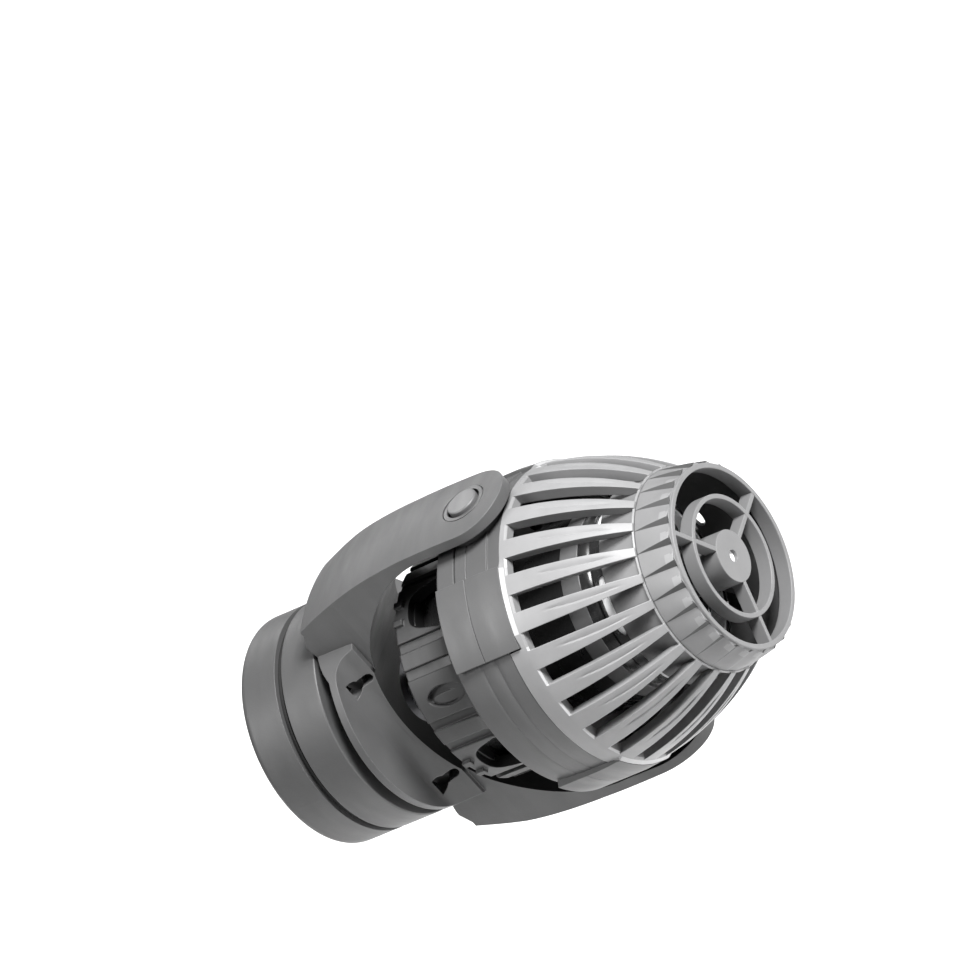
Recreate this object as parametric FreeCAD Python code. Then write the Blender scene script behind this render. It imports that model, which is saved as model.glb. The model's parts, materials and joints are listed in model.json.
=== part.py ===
import FreeCAD, Part
import math
import os

Vec = FreeCAD.Vector

# Aquarium wave maker pump on a magnetic mount, as it hangs on the inside of a tank wall.
# The glass-side face of the wet mount's pad is the plane Y = 0, and the pump reaches out along -Y.
# The tilt axis is vertical (Z) and crosses the mount's axis at PIVOT in front of the glass.
# "reach" is a distance in front of the glass, and "ahead" is a distance in front of the pivot.

# ---- driving dimensions, mm ----
MAGNET_R = 35.0            # both magnet discs
PIVOT = 79.8               # glass to tilt axis
PAD_T = 1.15               # rubber pad on each magnet
PAD_GAP = 0.3              # left between the two pads when there is no glass
WET_FRONT = 13.5           # front face of the wet magnet disc
DRY_T = 15.0               # dry magnet disc, pad to back
DRY_ROUND = 2.6            # rounded back rim
DISC_WALL = 2.2
EDGE = 0.5                 # small moulded edge break

BALL_R = 44.8              # rear and front shells
PLATE_R = 46.3             # raised pivot plates
PLATE_HALF = 59.0          # half angle of a pivot plate, degrees
SHELL_WALL = 2.5
SHELL_BACK = -12.8         # ahead
SHELL_SEAM = -1.0
SHELL_FRONT = 8.2
PLATE_BACK = -11.5
PLATE_FRONT = 11.0

MOTOR_BACK = -36.8
MOTOR_R = 34.0
CAN_R = 28.0               # sealed motor can
CAN_BACK = -31.0
CAN_FRONT = 30.0

CAGE_FRONT = 48.0
SLOT_COUNT = 25
SLOT_BACK = 13.2
SLOT_FRONT = 46.6
SLOT_W = 5.3

DUCT_R = 30.0
DUCT_WALL = 1.4
DUCT_BACK = 35.1
NOZZLE_BACK = 48.3
NOZZLE_FRONT = 59.4
RIM_R = 27.7
FLUTE_R = 30.2
FLUTE_COUNT = 27
FLUTE_START = -2.5
MID_RING_R = 18.5
HUB_R = 7.9
SPOKE_T = 1.3
GUARD_DEPTH = 9.6
GAP = 0.3                  # between pieces that move past each other
FIT = 0.05                 # radial running clearance

ARM_HALF = 13.6            # half width of a yoke arm at its tip
ARM_INNER = 46.85          # inner face of an arm, from the axis
ARM_CROWN = 51.1           # outer face of an arm at the pivot
CROWN_R = 70.0             # cross curvature of the arm's outer face
YOKE_BACK = -62.0
YOKE_LIP = -65.6           # flange edge beside the arms
FLANGE_FRONT = -59.5
YOKE_FLOOR = -55.4         # bottom of the U
KEYHOLE_BACK = -59.6       # centre of the round part
KEYHOLE_FRONT = -54.3      # centre of the slot's end
KEYHOLE_HEIGHT = 20.3
KEYHOLE_R = 2.8
KEYHOLE_SLOT = 1.45        # half width of the slot
KEYHOLE_SIDE = 13.4        # where the openings start, from the middle plane
PIN_R = 3.5
PIN_HEAD_R = 4.85
PIN_TOP = 51.9
RECESS_R = 7.1
RECESS_FLOOR = 50.1
SPACER_SEAT = 45.6         # flat on each pivot plate

SPIGOT_R = 7.0             # swivel on the wet magnet housing
HUB_BOSS_R = 12.0          # boss behind the yoke
WASHER_ROOM_R = 11.0       # counterbore for the swivel washer
WASHER_SEAT = -57.8        # end of the swivel spigot
BUSH_FRONT = -58.0
BUSH_R = 9.0
SHAFT_R = 2.0
ROTOR_R = 9.2
WELL_R = 9.7
WELL_OUT = WELL_R + 1.0
BEARING_R = SHAFT_R + 3.0
STATOR_TEETH = 6
STATOR_HALF = 12.0
STATOR_R = 26.0
TOOTH_W = 5.0

MOTOR_WALL = 2.0
MOTOR_BORE = MOTOR_R - MOTOR_WALL - FIT
SCOOP_ANGLE = 64.0         # first scoop, from the top towards -X
SCREW_R = 29.3
SCREW_ANGLES = (45, 135, 225, 315)
GLAND_SIDE = 13.0
GLAND_R = 4.0
CABLE_BORE_R = 3.2
NUT_HEX_R = 6.0

BLADES = 3
BLADE_START = -12
PROP_HUB_R = 7.0
PROP_BACK = 34.5
PROP_FRONT = 46.5
BLADE_TIP_R = 26.8
NUT_R = 3.6
SPOKE_ANGLES = (-90, 30, 150)
CAGE_SPIGOT_R = BALL_R - SHELL_WALL - 0.35


# ---- helpers ----
def wire(points):
    """A closed wire: each entry is a corner, or a pair (mid, end) for an arc from the last corner."""
    edges = []
    last = points[0]
    for entry in points[1:] + [points[0]]:
        if isinstance(entry, tuple):
            edges.append(Part.Arc(last, entry[0], entry[1]).toShape())
            last = entry[1]
        else:
            if last.distanceToPoint(entry) > 1e-6:
                edges.append(Part.LineSegment(last, entry).toShape())
            last = entry
    return Part.Wire(edges)


def spun(steps, start=PIVOT):
    """A turned solid about the pump axis. A step is (radius, ahead), or ((mid), (end)) for an arc."""
    def place(step):
        return Vec(step[0], -(start + step[1]), 0)
    points = []
    for step in steps:
        if isinstance(step[0], tuple):
            points.append((place(step[0]), place(step[1])))
        else:
            points.append(place(step))
    return Part.Face(wire(points)).revolve(Vec(), Vec(0, 1, 0), 360)


def drum(radius, back, front, bore=0.0, start=PIVOT):
    """A round disc or tube about the pump axis, between two distances ahead of start."""
    solid = Part.makeCylinder(radius, front - back, Vec(0, -(start + back), 0), Vec(0, -1, 0))
    if bore:
        solid = solid.cut(Part.makeCylinder(bore, front - back, Vec(0, -(start + back), 0), Vec(0, -1, 0)))
    return solid


def post(radius, low, high, ahead=0.0, side=0.0):
    """A vertical cylinder between two heights."""
    return Part.makeCylinder(radius, high - low, Vec(side, -(PIVOT + ahead), low), Vec(0, 0, 1))


def block(width, back, front, low, high, side=0.0):
    """A box centred on side, between two distances ahead of the pivot and two heights."""
    return Part.makeBox(width, front - back, high - low, Vec(side - width / 2, -(PIVOT + front), low))


def turn(shape, angle):
    """A copy turned about the pump axis, from the top towards -X."""
    copy = shape.copy()
    copy.rotate(Vec(), Vec(0, -1, 0), angle)
    return copy


def ring_of(shape, angles):
    return [turn(shape, angle) for angle in angles]


def join(shapes):
    return shapes[0].multiFuse(shapes[1:]) if len(shapes) > 1 else shapes[0]


def upside_down(shape):
    copy = shape.copy()
    copy.rotate(Vec(0, -PIVOT, 0), Vec(0, 1, 0), 180)
    return copy


def sector(radius, half_angle, back, front):
    """A wedge about the top, up to radius, between two distances ahead of the pivot."""
    spread = math.radians(half_angle)
    corner = Vec(radius * math.sin(spread), 0, radius * math.cos(spread))
    other = Vec(-corner.x, 0, corner.z)
    base = wire([Vec(), corner, (Vec(0, 0, radius), other)])
    face = Part.Face(base)
    face.translate(Vec(0, -(PIVOT + back), 0))
    return face.extrude(Vec(0, -(front - back), 0))


# ---- magnets ----
def magnet_cup(back, rim):
    """A disc-shaped cup, open on its glass side, with a rounded rim at its back."""
    bulge = rim * (1 - math.sqrt(0.5))
    steps = [(0, PAD_T), (MAGNET_R, PAD_T), (MAGNET_R, back - rim)]
    steps.append(((MAGNET_R - bulge, back - bulge), (MAGNET_R - rim, back)))
    steps.append((0, back))
    hollow = drum(MAGNET_R - DISC_WALL, PAD_T, back - DISC_WALL, start=0)
    return spun(steps, 0).cut(hollow)


def wet_magnet_housing():
    cup = magnet_cup(WET_FRONT, EDGE)
    hub = drum(HUB_BOSS_R, WET_FRONT - 0.5 - PIVOT, YOKE_BACK - GAP)
    spigot = drum(SPIGOT_R, WET_FRONT - PIVOT, WASHER_SEAT)
    thread = drum(1.6, WET_FRONT - 1.0 - PIVOT, WASHER_SEAT)
    return cup.fuse(hub).fuse(spigot).cut(thread)


def other_side(shape):
    """The same piece on the outside of the glass, a pad gap away."""
    copy = shape.copy()
    copy.rotate(Vec(0, PAD_GAP / 2, 0), Vec(0, 0, 1), 180)
    return copy


def pad():
    """A rubber pad with three shallow rings moulded in its face."""
    solid = drum(MAGNET_R - 1.6, 0, PAD_T, start=0)
    for radius in (12.0, 20.0, 28.0):
        solid = solid.cut(drum(radius + 0.8, 0, 0.3, radius - 0.8, start=0))
    return solid


def magnet_parts():
    plate = drum(MAGNET_R - DISC_WALL, PAD_T, PAD_T + 2.0, start=0)
    magnet = drum(26.0, PAD_T + 2.0, PAD_T + 9.0, start=0)
    return {
        "wet_magnet_housing": wet_magnet_housing(),
        "wet_magnet_cover": plate,
        "wet_magnet": magnet,
        "wet_pad": pad(),
        "dry_magnet_housing": other_side(magnet_cup(DRY_T, DRY_ROUND)),
        "dry_magnet_cover": other_side(plate),
        "dry_magnet": other_side(magnet),
        "dry_pad": other_side(pad()),
    }


# ---- yoke ----
def side_point(ahead, height):
    return Vec(0, -(PIVOT + ahead), height)


def curve(points):
    spline = Part.BSplineCurve()
    spline.interpolate(points)
    return spline.toShape()


def crown_line():
    """The arm's outer line, seen from the side, from beyond the tip to beyond the root."""
    tip = [(16.0, 50.5), (0.0, ARM_CROWN), (-22.0, 51.1)]
    root = [(-36.0, 50.1), (-46.5, 48.4), (-56.5, 45.6), (-68.0, 41.6)]
    return [side_point(*p) for p in tip + root]


def inner_line():
    """The U of the yoke, from one arm to the other."""
    half = [(-12.0, ARM_INNER), (-28.0, 44.2), (-41.9, 35.0), (-50.0, 25.0), (-54.2, 12.5)]
    upper = [side_point(*p) for p in half]
    lower = [side_point(ahead, -height) for ahead, height in reversed(half)]
    return upper + [side_point(YOKE_FLOOR, 0.0)] + lower


def side_body():
    """The yoke's side outline as a slab across X, before its width is shaped."""
    crown = crown_line()
    below = [Vec(0, p.y, -p.z) for p in crown]
    tip = 16.0
    lip_in, lip_out = 27.0, 34.0
    edges = [
        curve(crown),
        Part.LineSegment(crown[-1], side_point(-68.0, lip_out)).toShape(),
        Part.LineSegment(side_point(-68.0, lip_out), side_point(-68.0, -lip_out)).toShape(),
        Part.LineSegment(side_point(-68.0, -lip_out), below[-1]).toShape(),
        curve(list(reversed(below))),
        Part.LineSegment(below[0], side_point(tip, -ARM_INNER)).toShape(),
        Part.LineSegment(side_point(tip, -ARM_INNER), side_point(-12.0, -ARM_INNER)).toShape(),
        curve(list(reversed(inner_line()))),
        Part.LineSegment(side_point(-12.0, ARM_INNER), side_point(tip, ARM_INNER)).toShape(),
        Part.LineSegment(side_point(tip, ARM_INNER), crown[0]).toShape(),
    ]
    face = Part.Face(Part.Wire(edges))
    face.translate(Vec(-40, 0, 0))
    slab = face.extrude(Vec(80, 0, 0))
    back = [
        side_point(-70.0, 60.0),
        side_point(-63.6, 60.0),
        side_point(-63.6, 40.0),
        side_point(YOKE_LIP, 36.0),
        (side_point(YOKE_LIP + 0.9, lip_out - 2.6), side_point(YOKE_BACK, lip_in)),
        side_point(YOKE_BACK, -lip_in),
        (side_point(YOKE_LIP + 0.9, 2.6 - lip_out), side_point(YOKE_LIP, -36.0)),
        side_point(-63.6, -40.0),
        side_point(-63.6, -60.0),
        side_point(-70.0, -60.0),
    ]
    behind = Part.Face(wire(back))
    behind.translate(Vec(-40, 0, 0))
    return slab.cut(behind.extrude(Vec(80, 0, 0)))


def width_body(flared):
    """The yoke's outline from above, as a tall slab. The flared one opens out into the flange."""
    def at(side, ahead):
        return Vec(side, -(PIVOT + ahead), 0)
    half = [(ARM_HALF, 0.0), (ARM_HALF, -22.0), (14.2, -36.0), (14.9, -48.0)]
    right = [at(*p) for p in half]
    left = [Vec(-p.x, p.y, 0) for p in reversed(right)]
    if flared:
        fillet = (at(19.3, -57.9), at(23.2, FLANGE_FRONT))
        out = [at(17.2, -54.5), fillet, at(36.0, FLANGE_FRONT), at(36.0, -70.0)]
        back = [
            at(-36.0, -70.0),
            at(-36.0, FLANGE_FRONT),
            at(-23.2, FLANGE_FRONT),
            (at(-19.3, -57.9), at(-17.2, -54.5)),
        ]
    else:
        out = [at(14.6, -63.6), at(14.6, -70.0)]
        back = [at(-14.6, -70.0), at(-14.6, -63.6)]
    face = Part.Face(wire(right + out + back + left + [(at(0.0, ARM_HALF), right[0])]))
    face.translate(Vec(0, 0, -60))
    return face.extrude(Vec(0, 0, 120))


def crown_cutter():
    """What lies outside the arched outer face of the upper arm."""
    line = crown_line()
    spine = Part.Wire([curve(line)])
    reach = 24.0
    drop = reach * reach / (2 * CROWN_R)
    start = line[0]
    section = wire([
        Vec(-reach, start.y, start.z - drop),
        (Vec(0, start.y, start.z), Vec(reach, start.y, start.z - drop)),
        Vec(reach, start.y, start.z + 7),
        Vec(-reach, start.y, start.z + 7),
    ])
    pipe = Part.BRepOffsetAPI.MakePipeShell(spine)
    pipe.setBiNormalMode(Vec(1, 0, 0))
    pipe.add(section)
    pipe.build()
    pipe.makeSolid()
    return pipe.shape()


def keyholes():
    """Four keyhole openings in the yoke's side walls, beside the flange."""
    tools = []
    for side in (-1, 1):
        for height in (-KEYHOLE_HEIGHT, KEYHOLE_HEIGHT):
            start = Vec(side * KEYHOLE_SIDE, -(PIVOT + KEYHOLE_BACK), height)
            tools.append(Part.makeCylinder(KEYHOLE_R, 8.0, start, Vec(side, 0, 0)))
            slot_end = Vec(side * KEYHOLE_SIDE, -(PIVOT + KEYHOLE_FRONT), height)
            tools.append(Part.makeCylinder(KEYHOLE_SLOT, 8.0, slot_end, Vec(side, 0, 0)))
            low, high = height - KEYHOLE_SLOT, height + KEYHOLE_SLOT
            tools.append(block(8.0, KEYHOLE_BACK, KEYHOLE_FRONT, low, high, side * (KEYHOLE_SIDE + 4.0)))
    return tools


def bracket_yoke():
    side = side_body()
    body = side.common(width_body(False))
    flange_room = drum(MAGNET_R, -70.0, -52.0)
    body = body.fuse(side.common(width_body(True)).common(flange_room))
    cutter = crown_cutter()
    body = body.cut(cutter).cut(upside_down(cutter))
    body = body.cut(drum(BUSH_R, -63.0, -50.0))
    body = body.cut(drum(WASHER_ROOM_R, BUSH_FRONT, -50.0))
    for recess in (post(RECESS_R, RECESS_FLOOR, 60.0), post(PIN_R, 40.0, 60.0)):
        body = body.cut(recess).cut(upside_down(recess))
    for tool in keyholes():
        body = body.cut(tool)
    return body.removeSplitter()


def rubber_dampers():
    plugs = []
    for side in (-1, 1):
        for height in (-KEYHOLE_HEIGHT, KEYHOLE_HEIGHT):
            start = Vec(side * KEYHOLE_SIDE, -(PIVOT + KEYHOLE_BACK), height)
            plugs.append(Part.makeCylinder(KEYHOLE_R - FIT, 3.0, start, Vec(side, 0, 0)))
    return Part.makeCompound(plugs)


def pivot_pin():
    """A button-headed pin from the arm into the pump's boss."""
    shank = post(PIN_R, 36.5, RECESS_FLOOR + 0.1)
    head = post(PIN_HEAD_R, RECESS_FLOOR, PIN_TOP)
    rim = [edge for edge in head.Edges if abs(edge.BoundBox.ZMin - PIN_TOP) < 0.01 and edge.Length > 10]
    return head.makeFillet(0.5, rim).fuse(shank)


def yoke_parts():
    washer = post(6.9, RECESS_FLOOR, RECESS_FLOOR + 0.8).cut(post(5.6, 50.0, 51.0))
    bush = drum(BUSH_R, YOKE_BACK, BUSH_FRONT, SPIGOT_R + FIT)
    washer_front = WASHER_SEAT + 1.0
    screw = drum(5.5, washer_front, washer_front + 2.4).fuse(drum(1.5, -64.0, washer_front))
    screw = screw.cut(block(1.2, washer_front + 1.2, washer_front + 3.0, -4.5, 4.5))
    return {
        "bracket_yoke": bracket_yoke(),
        "swivel_bush": bush,
        "rubber_dampers": rubber_dampers(),
        "upper_pivot_pin": pivot_pin(),
        "lower_pivot_pin": upside_down(pivot_pin()),
        "upper_pivot_washer": washer,
        "lower_pivot_washer": upside_down(washer),
        "swivel_washer": drum(10.4, WASHER_SEAT, washer_front, 1.5),
        "swivel_screw": screw,
    }


# ---- pump body ----
def shell():
    """The rear and front shells as one, with pivot plates, bosses and the web that carries the can."""
    zone = spun([
        (BALL_R - SHELL_WALL - 1.0, SHELL_BACK),
        (BALL_R - 1.0, SHELL_BACK),
        ((BALL_R - 0.1, -6.0), (BALL_R, 0.0)),
        (BALL_R, SHELL_FRONT),
        (BALL_R - SHELL_WALL, SHELL_FRONT),
        (BALL_R - SHELL_WALL, -4.0),
    ])
    plate = sector(PLATE_R, PLATE_HALF, PLATE_BACK, PLATE_FRONT)
    plate = plate.cut(drum(BALL_R - SHELL_WALL, -20, 20))
    boss = post(7.5, 36.0, 44.0)
    body = zone.multiFuse([plate, upside_down(plate), boss, upside_down(boss)])
    spacer_seat = post(10.0, SPACER_SEAT, 50.0)
    bore = post(PIN_R + FIT, 36.4, 60.0)
    for tool in (spacer_seat, bore):
        body = body.cut(tool).cut(upside_down(tool))
    for ahead in (SHELL_SEAM + 1.4, SHELL_SEAM + 4.2):
        groove = drum(60.0, ahead, ahead + 0.3, BALL_R - 0.25)
        body = body.cut(groove.cut(drum(PLATE_R + 1, -20, 20, BALL_R)))
    web = drum(BALL_R - SHELL_WALL + 0.2, -9.0, -6.5, CAN_R)
    port = Part.makeCylinder(4.4, 6.0, Vec(0, -(PIVOT - 10.0), 35.2), Vec(0, -1, 0))
    web = web.cut(join(ring_of(port, [18 + 36 * i for i in range(10)])))
    return body.fuse(web)


def shell_halves():
    whole = shell()
    rear_room = drum(70.0, -30.0, SHELL_SEAM)
    front_room = drum(70.0, SHELL_SEAM, 30.0)
    return whole.common(rear_room), whole.common(front_room)


def leaf(half_length, half_width, angle):
    """A leaf-shaped cutter that stands on the motor housing's wall at an angle about the axis."""
    def at(side, ahead):
        return Vec(side, -(PIVOT + ahead), 28.0)
    mid = (MOTOR_BACK - 14.0) / 2 - 1.5
    start = at(0, mid - half_length)
    end = at(0, mid + half_length)
    outline = wire([start, (at(half_width, mid + 2.0), end), (at(-half_width, mid + 2.0), start)])
    return turn(Part.Face(outline).extrude(Vec(0, 0, 25)), angle)


def motor_housing():
    body = spun([
        (MOTOR_R - MOTOR_WALL, MOTOR_BACK),
        (MOTOR_R - EDGE, MOTOR_BACK),
        (MOTOR_R, MOTOR_BACK + EDGE),
        (MOTOR_R + 0.6, -24.0),
        ((MOTOR_R + 2.4, -19.4), (BALL_R - 1.1, SHELL_BACK)),
        (BALL_R - 3.2, SHELL_BACK),
        ((MOTOR_R + 0.6, -18.0), (MOTOR_R - 1.4, -24.0)),
    ])
    for quarter in range(4):
        base = SCOOP_ANGLE + 90 * quarter
        body = body.cut(leaf(9.0, 6.0, base + 45))
        for offset in (-27.5, -13.3, 13.3, 27.5):
            groove = block(2.4, MOTOR_BACK - 1, -21.0, MOTOR_R - 0.5, MOTOR_R + 4)
            body = body.cut(turn(groove, base + offset))
        scoop = Part.makeCylinder(2.2, 14.0, Vec(0, -(PIVOT - 31.6), MOTOR_R - 0.2), Vec(0, -1, 0.42))
        body = body.cut(turn(scoop, base))
    return body


def front_bearing_holder():
    steps = [
        (BEARING_R, 22.0),
        (WELL_R - FIT, 22.0),
        (WELL_R - FIT, 26.0),
        (14.0, 26.0),
        (14.0, 29.0),
        (9.0, CAN_FRONT + 1.4),
        (BEARING_R, CAN_FRONT + 1.4),
    ]
    return spun(steps)


def motor_can():
    outer = spun([
        (WELL_OUT, CAN_BACK),
        (CAN_R, CAN_BACK),
        (CAN_R, CAN_FRONT - 3.0),
        ((CAN_R - 0.9, CAN_FRONT - 0.9), (CAN_R - 3.0, CAN_FRONT)),
        (14.0, CAN_FRONT),
        (14.0, 26.0),
        (WELL_OUT, 26.0),
    ])
    hollow = drum(CAN_R - 1.6, CAN_BACK - 1.0, 22.5, WELL_OUT)
    return outer.cut(hollow)


def rotor_well():
    return spun([
        (0, CAN_BACK + 2.0),
        (WELL_OUT, CAN_BACK + 2.0),
        (WELL_OUT, 26.0),
        (WELL_R, 26.0),
        (WELL_R, -21.0),
        (BEARING_R, -21.0),
        (BEARING_R, -26.0),
        (0, -26.0),
    ])


def stator_core():
    ring = drum(STATOR_R, -STATOR_HALF, STATOR_HALF, STATOR_R - 4.0)
    tooth = block(TOOTH_W, -STATOR_HALF, STATOR_HALF, 13.0, STATOR_R - 3.5)
    shoe = block(9.0, -STATOR_HALF, STATOR_HALF, WELL_R + 1.4, 13.2)
    shoe = shoe.cut(drum(WELL_R + 1.2, -14.0, 14.0))
    teeth = ring_of(tooth.fuse(shoe), [60 * i for i in range(STATOR_TEETH)])
    return ring.multiFuse(teeth)


def stator_coils():
    coil = block(10.4, -STATOR_HALF - 3.5, STATOR_HALF + 3.5, 13.6, 20.6)
    coil = coil.cut(block(TOOTH_W + 0.4, -STATOR_HALF - 0.4, STATOR_HALF + 0.4, 10.0, 25.0))
    return Part.makeCompound(ring_of(coil, [60 * i for i in range(STATOR_TEETH)]))


def end_cap():
    cap = drum(MOTOR_BORE, MOTOR_BACK + 0.5, MOTOR_BACK + 3.5)
    cap = cap.cut(gland_drum(GLAND_R, MOTOR_BACK - 5.0, MOTOR_BACK + 15.0))
    hole = Part.makeCylinder(1.5, 10.0, Vec(0, -(PIVOT + MOTOR_BACK - 2.0), SCREW_R), Vec(0, -1, 0))
    return cap.cut(join(ring_of(hole, SCREW_ANGLES)))


def gland_drum(radius, back, front):
    return Part.makeCylinder(radius, front - back, Vec(GLAND_SIDE, -(PIVOT + back), 0), Vec(0, -1, 0))


def cable_gland():
    body = gland_drum(6.5, MOTOR_BACK - 1.5, MOTOR_BACK + 0.5)
    body = body.fuse(gland_drum(GLAND_R, MOTOR_BACK - 7.0, MOTOR_BACK + 5.0))
    return body.cut(gland_drum(CABLE_BORE_R, MOTOR_BACK - 8.0, MOTOR_BACK + 6.0))


def gland_nut():
    corners = []
    for i in range(6):
        angle = math.radians(60 * i)
        side = GLAND_SIDE + NUT_HEX_R * math.cos(angle)
        corners.append(Vec(side, -(PIVOT + MOTOR_BACK - 1.5), NUT_HEX_R * math.sin(angle)))
    body = Part.Face(wire(corners)).extrude(Vec(0, 6.0, 0))
    return body.cut(gland_drum(GLAND_R, MOTOR_BACK - 9.0, MOTOR_BACK))


def housing_screws():
    axis = Vec(0, -1, 0)
    shank = Part.makeCylinder(1.45, 6.4, Vec(0, -(PIVOT + MOTOR_BACK - 0.9), SCREW_R), axis)
    head = Part.makeCylinder(2.6, 1.4, Vec(0, -(PIVOT + MOTOR_BACK - 0.9), SCREW_R), axis)
    screw = head.fuse(shank).cut(block(0.8, MOTOR_BACK - 2.0, MOTOR_BACK - 0.3, SCREW_R - 2, SCREW_R + 2))
    return Part.makeCompound(ring_of(screw, SCREW_ANGLES))


def motor_boss_ring():
    """The screw bosses and the shelf under the end cap, fixed to the sealed can."""
    shelf = drum(MOTOR_BORE, MOTOR_BACK + 4.3, CAN_BACK, 24.0)
    hole = Part.makeCylinder(1.45, 10.0, Vec(0, -(PIVOT + MOTOR_BACK + 2.0), SCREW_R), Vec(0, -1, 0))
    return shelf.cut(join(ring_of(hole, SCREW_ANGLES)))


def pump_parts():
    rear, front = shell_halves()
    spacer = post(9.9, SPACER_SEAT, ARM_INNER - 0.35).cut(post(PIN_R + FIT, 45.0, 47.0))
    gasket = drum(MOTOR_BORE, MOTOR_BACK + 3.5, MOTOR_BACK + 4.3, 25.0)
    screw_holes = Part.makeCylinder(1.5, 10.0, Vec(0, -(PIVOT + MOTOR_BACK), SCREW_R), Vec(0, -1, 0))
    return {
        "rear_shell": rear,
        "front_shell": front,
        "upper_pivot_spacer": spacer,
        "lower_pivot_spacer": upside_down(spacer),
        "motor_housing": motor_housing(),
        "motor_end_cap": end_cap(),
        "end_cap_gasket": gasket.cut(join(ring_of(screw_holes, SCREW_ANGLES))),
        "potting_ring": motor_boss_ring(),
        "housing_screws": housing_screws(),
        "cable_gland": cable_gland(),
        "gland_nut": gland_nut(),
        "motor_can": motor_can(),
        "rotor_well": rotor_well(),
        "stator_core": stator_core(),
        "stator_coils": stator_coils(),
        "rear_bearing": drum(BEARING_R, -26.0, -21.0, SHAFT_R + FIT),
        "front_bearing": drum(BEARING_R, 23.0, 31.0, SHAFT_R + FIT),
        "bearing_holder": front_bearing_holder(),
    }


# ---- rotor ----
def blade():
    """A twisted blade, lofted through flat sections that stand square to a radius."""
    sections = []
    stations = ((PROP_HUB_R - 1.5, 11.0, 50.0), (16.0, 15.0, 35.0), (BLADE_TIP_R, 17.0, 24.0))
    for radius, chord, pitch in stations:
        half = chord / 2
        thick = 0.8
        corners = []
        for across, through in ((-half, -thick), (half, -thick), (half, thick), (-half, thick)):
            lean = math.radians(pitch)
            side = across * math.cos(lean) - through * math.sin(lean)
            ahead = across * math.sin(lean) + through * math.cos(lean)
            corners.append(Vec(side, -(PIVOT + (PROP_BACK + PROP_FRONT) / 2 + ahead), radius))
        sections.append(wire(corners))
    return Part.makeLoft(sections, True, False)


def propeller():
    hub = spun([
        (SHAFT_R, PROP_BACK),
        (PROP_HUB_R, PROP_BACK),
        (PROP_HUB_R, PROP_FRONT - 2.0),
        ((PROP_HUB_R - 0.6, PROP_FRONT - 0.6), (PROP_HUB_R - 2.0, PROP_FRONT)),
        (SHAFT_R, PROP_FRONT),
    ])
    hole = drum(SHAFT_R, PROP_BACK - 5, PROP_FRONT + 5)
    blades = ring_of(blade(), [BLADE_START + 360 / BLADES * i for i in range(BLADES)])
    return hub.multiFuse(blades).cut(hole)


def rotor_parts():
    thrust = drum(4.6, CAN_FRONT + 1.8, PROP_BACK, SHAFT_R)
    nut = drum(NUT_R, PROP_FRONT, PROP_FRONT + 3.0, SHAFT_R)
    return {
        "rotor_magnet": drum(ROTOR_R, -18.0, 18.0, SHAFT_R),
        "rotor_shaft": drum(SHAFT_R, -25.6, PROP_FRONT + 2.0),
        "thrust_washer": thrust,
        "propeller": propeller(),
        "propeller_nut": nut.fuse(drum(NUT_R, PROP_FRONT + 2.0, PROP_FRONT + 3.0)),
    }


# ---- cage and nozzle ----
def cage():
    outer_mid = (40.3, 30.0)
    inner = CAGE_SPIGOT_R
    body = spun([
        (inner - 0.4, SHELL_FRONT + GAP),
        (45.4, SHELL_FRONT + GAP),
        (outer_mid, (31.0, CAGE_FRONT)),
        (DUCT_R + 0.1, CAGE_FRONT),
        (DUCT_R + 0.1, 44.0),
        ((36.6, 30.0), (inner - 0.4, SLOT_BACK)),
    ])
    spigot = drum(inner, 4.0, SHELL_FRONT + 3.0, inner - 1.8)
    boss_room = post(8.0, 30.0, 50.0)
    body = body.fuse(spigot.cut(boss_room).cut(upside_down(boss_room)))
    step = sector(60.0, PLATE_HALF + 0.5, 0.0, PLATE_FRONT + GAP)
    step = step.cut(drum(inner, -5.0, 20.0))
    body = body.cut(step).cut(upside_down(step))
    def at(side, ahead):
        return Vec(side, -(PIVOT + ahead), DUCT_R + 1.0)
    slot = wire([
        at(-SLOT_W / 2, SLOT_BACK),
        at(SLOT_W / 2, SLOT_BACK),
        at(SLOT_W / 2, SLOT_FRONT),
        at(-SLOT_W / 2, SLOT_FRONT),
    ])
    tool = Part.Face(slot).extrude(Vec(0, 0, 20))
    pitch = 360.0 / SLOT_COUNT
    return body.cut(join(ring_of(tool, [pitch * i for i in range(SLOT_COUNT)])))


def sawtooth(ahead, low, high):
    """The fluted outline of the grip: each flute climbs over its width, then drops."""
    corners = []
    for i in range(FLUTE_COUNT):
        for share, radius in ((0.0, low), (0.86, high), (0.99, high - 0.1)):
            angle = math.radians(FLUTE_START + (i + share) * 360.0 / FLUTE_COUNT)
            corners.append(Vec(-radius * math.sin(angle), -(PIVOT + ahead), radius * math.cos(angle)))
    return wire(corners)


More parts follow.
